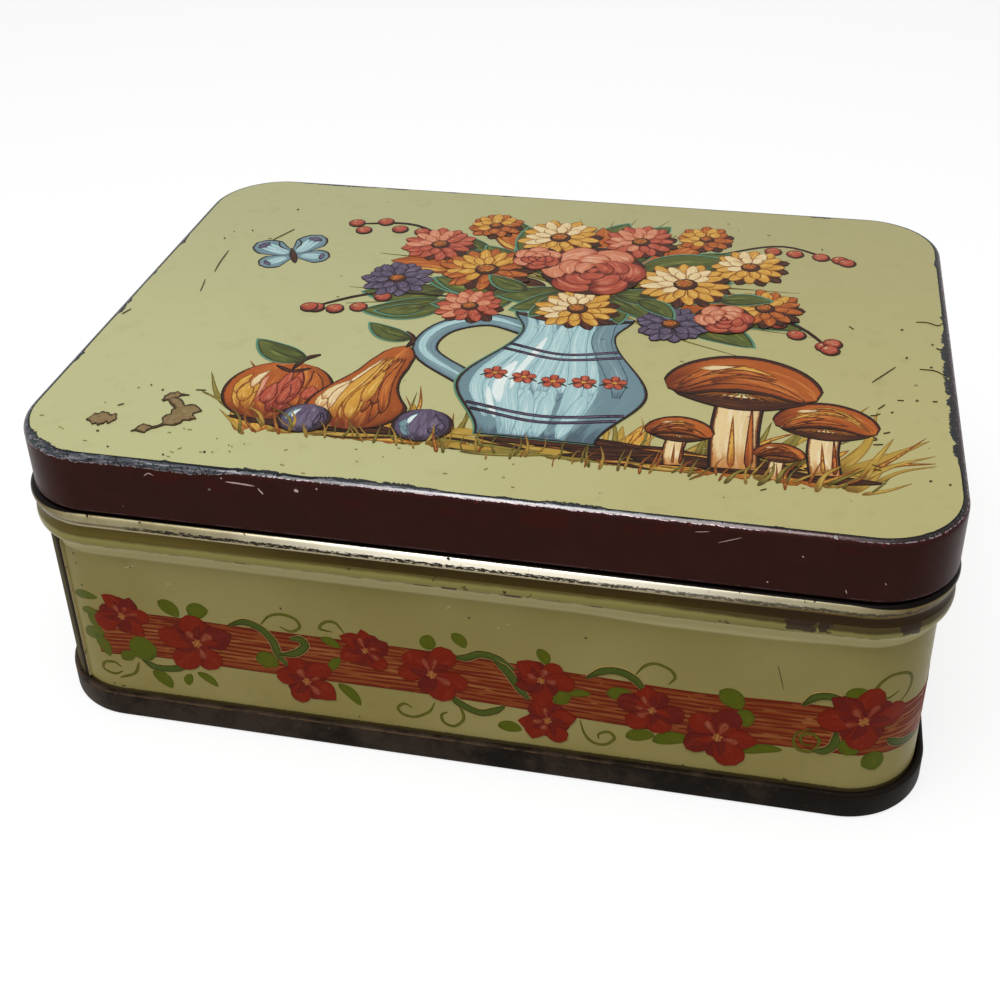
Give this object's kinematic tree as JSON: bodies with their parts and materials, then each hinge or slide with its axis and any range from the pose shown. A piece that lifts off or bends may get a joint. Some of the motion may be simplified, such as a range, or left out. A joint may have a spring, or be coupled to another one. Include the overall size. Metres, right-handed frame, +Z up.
{
  "type": "tin box",
  "caption": "Small rectangular keepsake tin with rounded corners, a lift-off slip lid, a ribbed shoulder under the lid and a double-seamed bottom.",
  "frame": {"origin": "on the floor, under the middle of the box", "axes": "+X along the long sides, +Y from the front long side to the back one, +Z up"},
  "size_m": [0.131, 0.095, 0.048],
  "materials": {
    "lid_print": "cream lithographed tinplate with a dark brown skirt, semi-gloss varnish, worn edges",
    "wall_print": "cream lithographed tinplate with a flower garland and a gold bead, semi-gloss varnish",
    "bare_tinplate": "bare tinplate, dull and darkened by tarnish"
  },
  "bodies": {
    "tin": {"body_wall": "wall_print", "bottom_end": "bare_tinplate"},
    "lid": {"lid": "lid_print"}
  },
  "joints": [
    {"name": "lid_lift", "type": "slide", "parent": "tin", "child": "lid", "axis": [0, 0, 1], "range_m": [0, 0.06]}
  ]
}
